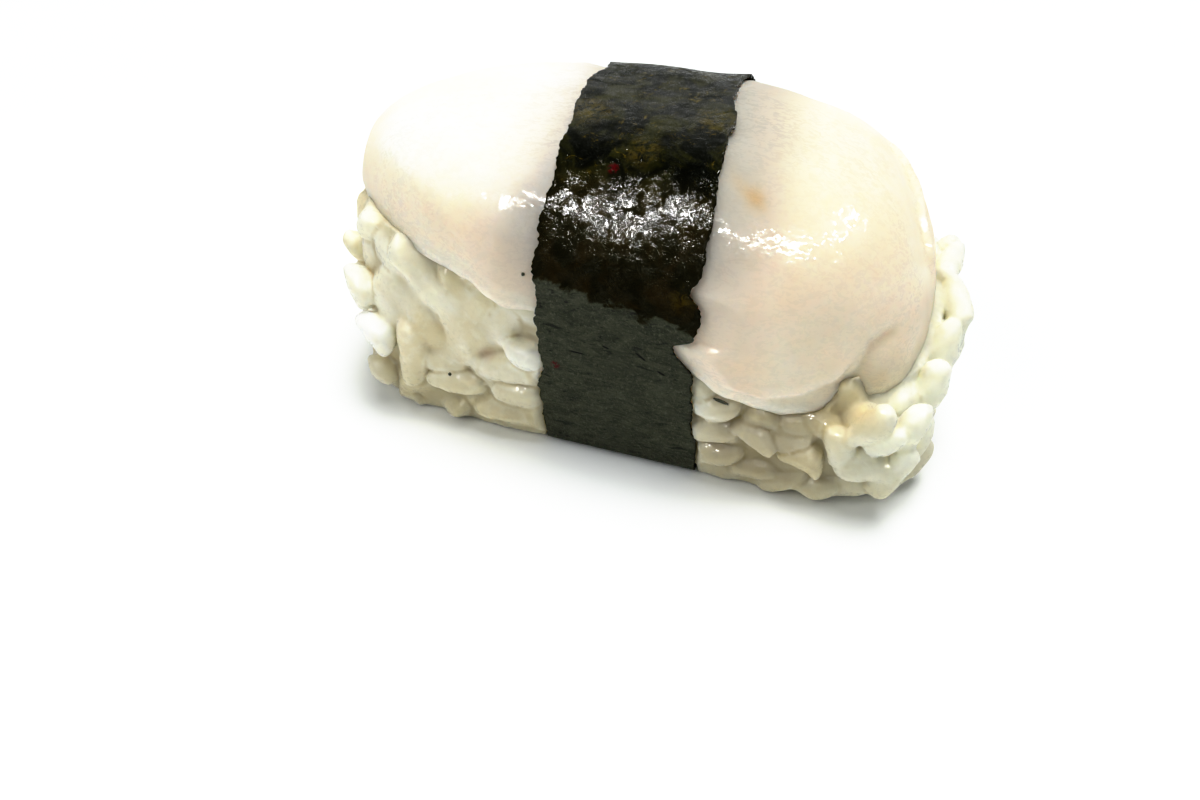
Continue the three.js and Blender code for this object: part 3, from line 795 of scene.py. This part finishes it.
def rice_field(grains):
    """The grid's axes and how far outside the rice each of its points lies."""
    axes = [np.arange(low, high, RICE_VOXEL) for low, high in zip(RICE_LOW, RICE_HIGH)]
    x, y, z = (axis.reshape([-1 if j == k else 1 for j in range(3)]) for k, axis in enumerate(axes))
    patch = patch_share(x, y, z)
    soft = (STICK["loose"] + (STICK["fused"] - STICK["loose"]) * patch).astype(np.float32)
    core = core_depth(x, y, z) - CORE_OUT - (FUSED_PATCH["swell"] - CORE_OUT) * patch
    for cut in (sunk_cut(x, y, z), ledge_cut(x, y, z)):
        core = rounded(core, cut)
    total = stuck(core, soft)
    for number, grain in enumerate(grains):
        reach = grain["length"] / 2 + 1.2
        first, last = (((grain["middle"] + side - RICE_LOW) / RICE_VOXEL).astype(int)
                       for side in (-reach, reach))
        window = tuple(slice(max(first[k], 0), last[k] + 1) for k in range(3))
        depth = grain_depth(grain, number, x[window[0]], y[:, window[1]], z[:, :, window[2]])
        total[window] += stuck(depth, soft[window])
    depth = -soft * np.log(np.maximum(total, 1e-26))
    for cut in (band_cut(x, y, z), FLOOR_CUT - z + 0 * depth):
        depth = rounded(depth, cut)
    return axes, np.maximum(depth, -z).astype(np.float32)


def grain_marks(points, grains):
    """Shade and whiteness at each point from its grain, closeness to a seam, and share of gap."""
    total = np.full(len(points), 1e-3)
    shades, whites = 0.35 * total, 0 * total
    first = np.full(len(points), 3.0)
    second = first.copy()
    for number, grain in enumerate(grains):
        close = np.flatnonzero(np.abs(points - grain["middle"]).max(1) < grain["length"] / 2 + 1)
        depth = grain_depth(grain, number, *points[close].T)
        weight = np.exp(-np.clip(depth, -1, 3) / MARK_BLEND)
        total[close] += weight
        shades[close] += weight * chance(5 * number + 7)
        whites[close] += weight * grain["white"]
        second[close] = np.minimum(second[close], np.maximum(first[close], depth))
        first[close] = np.minimum(first[close], depth)
    apart = 1 - 0.8 * patch_share(*points.T)
    seam = np.exp(-np.clip(second - first, 0, 3) / SEAM_WIDTH)
    return shades / total, whites / total, seam * apart, smooth_step(first, 0.05, 0.45) * apart


def sampled(values, axes, points):
    """Values of the grid at points between its places."""
    at = (points - np.array([axis[0] for axis in axes])) / RICE_VOXEL
    at = np.clip(at, 0, np.array(values.shape) - 1.001)
    cell = at.astype(int)
    return between(cell, at - cell, lambda *places: values[places])


def blurred(values, radius):
    """Values averaged over a cube of the grid, twice."""
    count = round(radius / RICE_VOXEL)
    span = 2 * count + 1
    for axis in (0, 1, 2) * 2:
        padding = [(count + 1, count) if k == axis else (0, 0) for k in range(3)]
        sums = np.cumsum(np.pad(values, padding, "edge"), axis, dtype=np.float64)
        high, low = (sums.take(range(first, first + values.shape[axis]), axis) for first in (span, 0))
        values = ((high - low) / span).astype(np.float32)
    return values


def largest_body(points, quads):
    """Only the faces of the body with the most points."""
    label = np.arange(len(points))
    while True:
        least = label[quads].min(1)
        new = label.copy()
        for k in range(4):
            np.minimum.at(new, quads[:, k], least)
        new = new[new]
        if (new == label).all():
            break
        label = new
    values, counts = np.unique(label[quads[:, 0]], return_counts=True)
    kept = label == values[counts.argmax()]
    number = np.cumsum(kept) - 1
    return points[kept], number[quads[kept[quads[:, 0]]]]


def relaxed(points, quads, rounds):
    """Points moved towards the middle of their neighbours, to even out the grid's steps."""
    ends = np.concatenate([quads[:, [0, 1]], quads[:, [1, 2]], quads[:, [2, 3]], quads[:, [3, 0]]])
    ends = np.concatenate([ends, ends[:, ::-1]])
    count = np.maximum(np.bincount(ends[:, 0], minlength=len(points)), 1)[:, None]
    for _ in range(rounds):
        total = [np.bincount(ends[:, 0], points[ends[:, 1], k], len(points)) for k in range(3)]
        points = points + 0.5 * (np.stack(total, -1) / count - points)
    return points


def point_normals(points, faces):
    """Outward unit vectors at points, from the faces round them."""
    total = np.zeros(points.shape)
    for group in faces:
        corners = points[group]
        across = np.cross(corners[:, 2] - corners[:, 0], corners[:, -1] - corners[:, 1])
        for k in range(group.shape[1]):
            for j in range(3):
                total[:, j] += np.bincount(group[:, k], across[:, j], len(points))
    return total / np.maximum(np.linalg.norm(total, axis=1, keepdims=True), 1e-9)


def make_rice(material):
    grains = all_grains()
    axes, depth = rice_field(grains)
    grid = openvdb.FloatGrid(3.0)
    grid.copyFromArray(np.clip(depth, -3, 3))
    places, threes, quads = grid.convertToPolygons(isovalue=0.0, adaptivity=RICE_MERGE)
    # triangles are kept as quads whose last corner comes twice until the mesh is made
    faces = np.concatenate([quads.astype(np.int64), threes[:, [0, 1, 2, 2]].astype(np.int64)])
    places, faces = largest_body(places.astype(float), faces)
    points = relaxed(places * RICE_VOXEL, faces, RICE_RELAX) + np.array([axis[0] for axis in axes])
    triangle = faces[:, 2] == faces[:, 3]
    groups = [faces[~triangle], faces[triangle][:, :3]]
    points = points + point_normals(points, groups) * waves(points, RICE_UNEVEN, 61)[:, None]
    shade, white, seam, gap = grain_marks(points, grains)
    marks = {"grain_shade": shade, "grain_white": white, "seam": seam, "gap": gap,
             "sheltered": smooth_step(slice_cut(*points.T), -2.4, -0.3),
             "crowding": sampled(blurred((depth < 0).astype(np.float32), 1.0), axes, points)}
    points[:, 2] = np.maximum(points[:, 2], 0)
    piece = make_piece("rice_block", points, groups, material, marks)
    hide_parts("rice")
    print("rice", len(grains), "grains", 2 * len(groups[0]) + len(groups[1]), "triangles")
    return piece


# Crumbs of seaweed

def landing(pieces, pixel):
    """Place and outward way where the camera's ray through a pixel first meets one of the pieces."""
    camera = bpy.context.scene.camera
    right = (pixel[0] - PICTURE[0] / 2) / PICTURE[0] * SENSOR
    up = (PICTURE[1] / 2 - pixel[1]) / PICTURE[0] * SENSOR
    way = camera.rotation_euler.to_matrix() @ Vector((right, up, -LENS)).normalized()
    found = []
    for piece in pieces:
        corners = [corner.co for corner in piece.data.vertices]
        tree = BVHTree.FromPolygons(corners, [face.vertices for face in piece.data.polygons])
        place, out, _face, away = tree.ray_cast(camera.location, way)
        if place is not None:
            found.append((away, place / MM, out if out.dot(way) < 0 else -out))
    return min(found, key=lambda hit: hit[0])[1:]


def make_crumbs(material, pieces):
    points, quads, threes = [], [], []
    rings, spokes = CRUMB_RINGS, CRUMB_SPOKES
    for number, (start, end, wide, thick) in enumerate(CRUMBS):
        (first, out), (last, _out) = landing(pieces, start), landing(pieces, end)
        half = max((last - first).length / 2, wide)
        along = (last - first).normalized() if start != end else out.orthogonal().normalized()
        across = out.cross(along).normalized()
        out = along.cross(across)
        middle = (first + last) / 2 + out * 0.5 * thick
        base = len(points)
        for ring in range(rings):
            rise = math.pi * (ring + 0.5) / rings
            narrow = math.sin(rise) ** 0.4
            for spoke in range(spokes):
                turn = 2 * math.pi * spoke / spokes
                swell = 0.85 + 0.3 * chance(900 + 97 * number + 10 * ring + spoke)
                points.append(middle + along * half * swell * narrow * math.cos(turn)
                              + across * wide * swell * narrow * math.sin(turn)
                              + out * thick * math.cos(rise))
        row = base + spokes * np.arange(rings - 1)[:, None]
        column = np.arange(spokes)
        quads.append(quads_between(row, row + spokes, column, (column + 1) % spokes))
        bottom = base + (rings - 1) * spokes
        for top in (range(base, base + spokes), range(bottom + spokes - 1, bottom - 1, -1)):
            threes += [(top[0], top[k], top[k + 1]) for k in range(1, spokes - 1)]
    marks = {"round_mm": np.full(len(points), 40.0), "across_mm": np.zeros(len(points)),
             "angle_deg": np.zeros(len(points))}
    faces = [np.concatenate(quads), np.array(threes)]
    piece = make_piece("nori_crumbs", np.array(points), faces, material, marks)
    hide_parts("nori")


# Materials

class Material:
    """A material with nodes, and short ways to add them."""

    def __init__(self, name):
        self.made = bpy.data.materials.new(name)
        self.made.use_nodes = True
        self.tree = self.made.node_tree
        self.shader = next(n for n in self.tree.nodes if n.type == "BSDF_PRINCIPLED")
        self.place = self.node("ShaderNodeTexCoord")["Object"]
        self.tone = None

    def node(self, kind, inputs=None, **settings):
        """Adds a node and gives its outputs."""
        made = self.tree.nodes.new(kind)
        for name, value in settings.items():
            setattr(made, name, value)
        for name, value in (inputs or {}).items():
            self.put(made.inputs[name], value)
        return made.outputs

    def put(self, socket, value):
        if isinstance(value, bpy.types.NodeSocket):
            self.tree.links.new(value, socket)
        else:
            socket.default_value = value

    def set(self, **values):
        for name, value in values.items():
            self.put(self.shader.inputs[name.replace("_", " ")], value)

    def mark(self, name):
        return self.node("ShaderNodeAttribute", attribute_name=name)["Fac"]

    def noise(self, size, detail=3.0, rough=0.5, twist=0.0, place=None):
        """Noise with lumps of a size in millimetres."""
        return self.node("ShaderNodeTexNoise", {
            "Vector": place or self.place, "Scale": 1 / (size * MM), "Detail": detail,
            "Roughness": rough, "Distortion": twist})["Fac"]

    def math(self, operation, a, b=0.0):
        return self.node("ShaderNodeMath", {0: a, 1: b}, operation=operation)[0]

    def times(self, first, *others):
        for other in others:
            first = self.math("MULTIPLY", first, other)
        return first

    def vector(self, operation, a, b):
        return self.node("ShaderNodeVectorMath", {0: a, 1: b}, operation=operation)

    def span(self, value, low, high, to_low=0.0, to_high=1.0):
        """Smooth step of a value from low to high."""
        return self.node("ShaderNodeMapRange", {
            "Value": value, "From Min": low, "From Max": high, "To Min": to_low, "To Max": to_high},
            interpolation_type="SMOOTHSTEP")["Result"]

    def mix(self, share, a, b):
        return self.node("ShaderNodeMix", {0: share, 6: a, 7: b}, data_type="RGBA")[2]

    def lay(self, share, red, green, blue):
        """Lays a colour over the tone so far."""
        self.tone = self.mix(share, self.tone, colour(red, green, blue))

    def bump(self, height, distance, under=None):
        inputs = {"Height": height, "Distance": distance * MM}
        if under is not None:
            inputs["Normal"] = under
        return self.node("ShaderNodeBump", inputs)["Normal"]

    def valley(self, *noise):
        """0 along wandering lines where a noise is at its middle, more beside them."""
        return self.math("ABSOLUTE", self.math("SUBTRACT", self.noise(*noise), 0.5))

    def threads(self, sizes, beside, within, place):
        """1 along thin wandering lines of two sizes and twists, 0 beside them."""
        lines = [self.span(self.valley(size, 2, 0.5, twist, place), beside, within)
                 for size, twist in sizes]
        return self.math("MAXIMUM", *lines)

    def stroke(self, place, middle, lean, half, width):
        """1 on a short straight stroke, 0 beside it."""
        turned = math.radians(lean)
        ways = ((math.cos(turned), math.sin(turned), 0), (-math.sin(turned), math.cos(turned), 0))
        offset = self.vector("SUBTRACT", place, Vector((*middle, 0)) * MM)[0]
        shares = []
        for way, reach in zip(ways, (half, width)):
            away = self.math("ABSOLUTE", self.vector("DOT_PRODUCT", offset, way)["Value"])
            shares.append(self.span(away, reach * MM, 0.4 * reach * MM))
        return self.times(*shares)

    def near(self, centre, radius, soft):
        """1 within radius of a place, falling to 0 over soft."""
        away = self.vector("DISTANCE", self.place, Vector(centre) * MM)["Value"]
        return self.span(away, (radius + soft) * MM, radius * MM)


def colour(red, green, blue):
    """Linear colour from values of 0 to 255 as seen on a screen."""
    def linear(value):
        value /= 255
        return value / 12.92 if value <= 0.04045 else ((value + 0.055) / 1.055) ** 2.4
    return (linear(red), linear(green), linear(blue), 1)


def rice_material():
    m = Material("rice")
    seam, gap = m.mark("seam"), m.mark("gap")
    m.tone = m.mix(m.span(m.mark("grain_shade"), 0.0, 1.0), colour(229, 219, 188), colour(243, 239, 220))
    m.lay(m.span(m.noise(1.1, 3), 0.45, 0.75, 0, 0.5), 248, 245, 229)
    m.lay(m.times(m.mark("grain_white"), 0.75), 251, 251, 243)
    # painted light and shade along the seams: a pale rim, as if the grains' edges caught the light, and tan
    # painted shade in the middle
    m.lay(m.times(m.span(seam, 0.2, 0.45), m.span(seam, 0.75, 0.5), 0.4), 251, 250, 238)
    m.lay(m.span(seam, 0.5, 0.95, 0, 0.3), 204, 194, 160)
    # painted shade where little light gets in: gaps between grains, crowded hollows and rice under the
    # slice
    m.lay(m.times(gap, 0.5), 196, 184, 148)
    m.lay(m.span(m.mark("crowding"), 0.5, 0.78, 0, 0.45), 190, 178, 140)
    m.lay(m.times(m.mark("sheltered"), 0.35), 198, 190, 156)
    along, _across, height = m.node("ShaderNodeSeparateXYZ", {0: m.place})
    m.lay(m.span(along, 0.016, 0.024, 0, 0.7), 236, 238, 225)
    # painted shade: darker towards the floor, where less light reaches
    m.lay(m.span(height, 0.011, 0.002, 0, 0.6), 180, 170, 136)
    # a stain, and painted shade under the slice
    for place, size, share, tint in RICE_STAINS_AND_SHADE:
        m.lay(m.times(m.near(place, size, 2.5 * size + 0.6), share), *tint)
    ridges = m.bump(m.noise(1.0, 3, 0.5), 0.08)
    glints = m.times(m.span(m.noise(0.45, 3, 0.6), 0.52, 0.6, 0, 0.7), m.span(gap, 0.5, 0.1))
    m.set(Base_Color=m.tone, Roughness=0.5, IOR=1.4, Specular_IOR_Level=0.15, Normal=ridges)
    m.set(Subsurface_Weight=0.85, Subsurface_Radius=(1.0, 0.92, 0.75), Subsurface_Scale=0.0028)
    m.set(Coat_Weight=glints, Coat_Roughness=0.18, Coat_IOR=1.4,
          Coat_Normal=m.bump(m.noise(0.5, 2), 0.12, under=ridges))
    return m.made


def scallop_material():
    m = Material("scallop")
    from_band, to_rim = m.mark("from_band"), m.mark("to_rim")
    side, _across, height = m.node("ShaderNodeSeparateXYZ", {0: m.place})
    cloudy = m.noise(7, 3, 0.5, 0.6)
    beige = m.mix(m.span(cloudy, 0.35, 0.7), colour(252, 237, 217), colour(250, 232, 209))
    white = m.mix(m.span(cloudy, 0.3, 0.7), colour(251, 248, 238), colour(250, 242, 225))
    # the top of the left lobe, away from the rim, is whiter: partly the flesh's own paler colour, partly
    # painted light
    upper_left = m.times(m.span(side, -0.001, -0.009), m.span(to_rim, 3.2, 7.5))
    m.tone = m.mix(upper_left, beige, white)
    upper_right = m.times(m.span(side, 0.0, 0.006), m.span(to_rim, 10, 20))
    m.lay(m.times(upper_right, 0.65), 238, 228, 205)
    m.lay(m.span(m.noise(2.2, 3), 0.5, 0.75, 0, 0.3), 249, 239, 221)
    # painted shade beside the band: dimmer and greyer there, most on the top and towards the right
    top = m.span(height, 0.018, 0.026)
    m.lay(m.times(m.span(from_band, 7.5, 0.3), m.math("ADD", m.times(top, 0.35), 0.45)), 214, 206, 196)
    m.lay(m.times(m.span(from_band, 3.5, 0.2, 0, 0.5), top), 188, 186, 180)
    dim = m.times(m.span(from_band, 9.5, 2.5, 0, 0.6), m.span(side, 0.001, 0.008))
    m.lay(m.times(dim, m.span(height, 0.022, 0.029)), 184, 180, 168)
    m.lay(m.span(to_rim, 0.9, 0.1, 0, 0.5), 248, 240, 224)
    m.lay(m.times(m.mark("drop"), 0.95), 204, 180, 144)
    lumps = m.bump(m.noise(1.6, 3, 0.5), 0.03)
    # broken glints along the strands
    strands = m.vector("MULTIPLY", m.place, (0.5, 1, 1))[0]
    facing = m.node("ShaderNodeLayerWeight", {"Blend": 0.5})["Facing"]
    glints = m.times(
        m.threads(((1.05, 1.2), (0.7, 1.2)), 0.07, 0.045, strands),
        m.span(m.noise(1.6, 3, 0.6), 0.34, 0.46),
        m.span(m.noise(0.45, 2, 0.5, 0.8, strands), 0.455, 0.5),
        m.span(facing, 0.75, 0.5))
    m.set(Base_Color=m.tone, Roughness=0.45, IOR=1.4, Specular_IOR_Level=0.05, Normal=lumps)
    m.set(Subsurface_Weight=0.55, Subsurface_Radius=(1.0, 0.8, 0.62), Subsurface_Scale=0.003)
    m.set(Coat_Weight=glints, Coat_Roughness=0.17, Coat_IOR=1.5,
          Coat_Normal=m.bump(m.noise(0.8, 3, 0.6), 0.06, under=lumps))
    return m.made


def nori_material():
    m = Material("nori")
    angle, across, along = m.mark("angle_deg"), m.mark("across_mm"), m.mark("round_mm")
    strip = m.node("ShaderNodeCombineXYZ", {"X": m.times(across, MM), "Y": m.times(along, MM)})[0]
    flat = m.vector("MULTIPLY", strip, (0.35, 1, 1))[0]
    fibre = m.noise(0.8, 5, 0.7, 1.4, flat)
    blotch = m.noise(3.0, 4, 0.6, 0.8, strip)
    # the wet part, with ragged ends at the front and behind
    rags = m.noise(2.0, 5, 0.6, 0.5, strip)
    front = m.math("ADD", m.math("ADD", angle, m.times(across, 0.7)), m.times(rags, 14))
    rear = m.math("SUBTRACT", m.times(rags, 30), angle)
    wet = m.times(m.span(front, 34.8, 37), m.span(rear, -131, -127))
    m.tone = m.mix(m.span(fibre, 0.36, 0.64), colour(62, 64, 52), colour(81, 83, 69))
    m.lay(m.span(blotch, 0.5, 0.75, 0, 0.35), 90, 93, 80)
    m.lay(m.span(m.noise(0.3, 3, 0.7, 0.5, strip), 0.5, 0.72, 0, 0.7), 104, 107, 92)
    m.lay(m.span(m.noise(0.5, 3, 0.6, 0.8, flat), 0.42, 0.3, 0, 0.75), 30, 32, 26)
    for middle, lean, half in SLITS:
        m.lay(m.stroke(strip, middle, lean, half, SLIT_WIDTH), 5, 6, 4)
    dry = m.tone
    m.tone = m.mix(m.span(blotch, 0.42, 0.66), colour(22, 24, 13), colour(56, 56, 29))
    m.lay(m.span(m.noise(1.1, 5, 0.7, 1.0, strip), 0.57, 0.72, 0, 0.8), 112, 98, 44)
    brown = m.mix(m.span(blotch, 0.4, 0.7), colour(48, 46, 28), colour(62, 54, 32))
    damp = m.mix(m.span(angle, 52, 66), brown, m.tone)
    m.tone = m.mix(wet, dry, damp)
    for place, size in OLIVE_SPOTS:
        patch = m.times(m.near(place, size, 1.6), m.span(m.noise(0.7, 4, 0.7, 0.8, strip), 0.42, 0.58))
        m.lay(m.times(patch, 0.55), 100, 88, 40)
    for place, size in RED_SPECKS:
        speck = m.times(m.near(place, size, 0.3), m.span(m.noise(0.35, 3, 0.6), 0.4, 0.56))
        m.lay(m.times(speck, 0.8), 96, 16, 30)
    # a sheen on the top, and broken glints where it is wet
    on_top = m.times(m.span(angle, 64, 88, 0, 1.7), m.span(angle, 125, 100))
    sheen = m.math("ADD", m.span(wet, 0, 1, 0.2, 0.01), m.times(on_top, m.noise(1.2, 4, 0.6, 0.8, flat)))
    glints = m.times(
        m.threads(((0.75, 2.4), (0.5, 1.8)), 0.042, 0.02, strip),
        m.span(m.noise(1.3, 3, 0.6, 0.6, strip), 0.38, 0.52),
        m.span(angle, 36, 46, 0.3, 1))
    crinkle = m.bump(m.noise(1.6, 3, 0.5, 1.0, strip), 0.05)
    ridged = m.valley(0.9, 4, 0.6, 2.6, strip)
    m.set(Base_Color=m.tone, Roughness=0.55, IOR=1.5, Specular_IOR_Level=sheen,
          Normal=m.bump(ridged, 0.2, under=crinkle))
    m.set(Coat_Weight=m.times(wet, glints), Coat_Roughness=0.08, Coat_IOR=1.6,
          Coat_Normal=m.bump(ridged, 0.1, under=crinkle))
    return m.made


def floor_material():
    m = Material("floor")
    tone = m.mix(m.noise(40, 3), colour(243, 246, 247), colour(250, 252, 252))
    m.set(Base_Color=tone, Roughness=0.75, Specular_IOR_Level=0.2)
    return m.made


# Surroundings

def make_floor(material):
    half, count = FLOOR["half"], FLOOR["count"]
    side = np.linspace(-half, half, count)
    x, y = np.meshgrid(side, side, indexing="ij")
    points = np.stack([x, y, 0 * x + FLOOR["height"]], -1).reshape(-1, 3)
    column = np.arange(count - 1)
    row = column[:, None] * count
    floor = make_object("floor", points, [quads_between(row, row + count, column, column + 1)], material)


def make_light(name, place, target, energy, size, tint):
    data = bpy.data.lights.new(name, "AREA")
    data.shape = "DISK"
    data.size = size
    data.energy = energy
    data.color = tint
    light = link(name, data)
    light.location = place
    light.rotation_euler = (Vector(target) - Vector(place)).to_track_quat("-Z", "Y").to_euler()
    return light


def make_lights():
    for lamp in SOFT_LAMPS:
        make_light(*lamp).visible_glossy = False
    level = GLINT_FAR * math.cos(math.radians(45))
    for name, turn, energy, length in GLINT_LAMPS:
        place = (level * math.cos(math.radians(turn)), level * math.sin(math.radians(turn)), level)
        lamp = make_light(name, place, GLINT_TARGET, energy, length, GLINT_TINT)
        lamp.data.shape = "RECTANGLE"
        lamp.data.size_y = GLINT_WIDE
        lamp.visible_diffuse = False
    world = bpy.data.worlds.new("room")
    world.use_nodes = True
    backdrop = world.node_tree.nodes["Background"]
    backdrop.inputs["Color"].default_value = ROOM_COLOUR
    backdrop.inputs["Strength"].default_value = ROOM_STRENGTH
    bpy.context.scene.world = world


def make_camera():
    data = bpy.data.cameras.new("camera")
    data.lens = LENS
    data.sensor_width = SENSOR
    data.sensor_fit = "HORIZONTAL"
    data.clip_start, data.clip_end = CLIP
    camera = link("camera", data)
    turn, pitch = math.radians(CAMERA_TURN), math.radians(CAMERA_PITCH)
    back = Vector((math.sin(turn) * math.cos(pitch), -math.cos(turn) * math.cos(pitch), math.sin(pitch)))
    camera.location = (Vector(CAMERA_TARGET) + back * CAMERA_DISTANCE) * MM
    camera.rotation_euler = Euler((math.pi / 2 - pitch, 0, turn))
    bpy.context.scene.camera = camera


def set_tone():
    """Plain view with the photograph's contrast: bright whites and deep darks."""
    view = bpy.context.scene.view_settings
    view.view_transform = "Standard"
    view.use_curve_mapping = True
    curve = view.curve_mapping.curves[3]
    curve.points[0].location = TONE[0]
    curve.points[-1].location = TONE[-1]
    for place in TONE[1:-1]:
        curve.points.new(*place)
    view.curve_mapping.update()


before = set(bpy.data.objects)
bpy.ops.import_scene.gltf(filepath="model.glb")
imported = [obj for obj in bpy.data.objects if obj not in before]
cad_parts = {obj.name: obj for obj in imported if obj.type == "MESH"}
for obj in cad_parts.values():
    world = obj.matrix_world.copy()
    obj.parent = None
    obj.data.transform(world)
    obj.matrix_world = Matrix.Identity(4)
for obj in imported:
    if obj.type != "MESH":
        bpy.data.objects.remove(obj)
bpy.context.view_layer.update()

make_camera()
make_lights()
make_floor(floor_material())
seaweed = nori_material()
slice_piece = make_scallop(scallop_material())
make_nori(seaweed)
rice_piece = make_rice(rice_material())
make_crumbs(seaweed, (slice_piece, rice_piece))
set_tone()
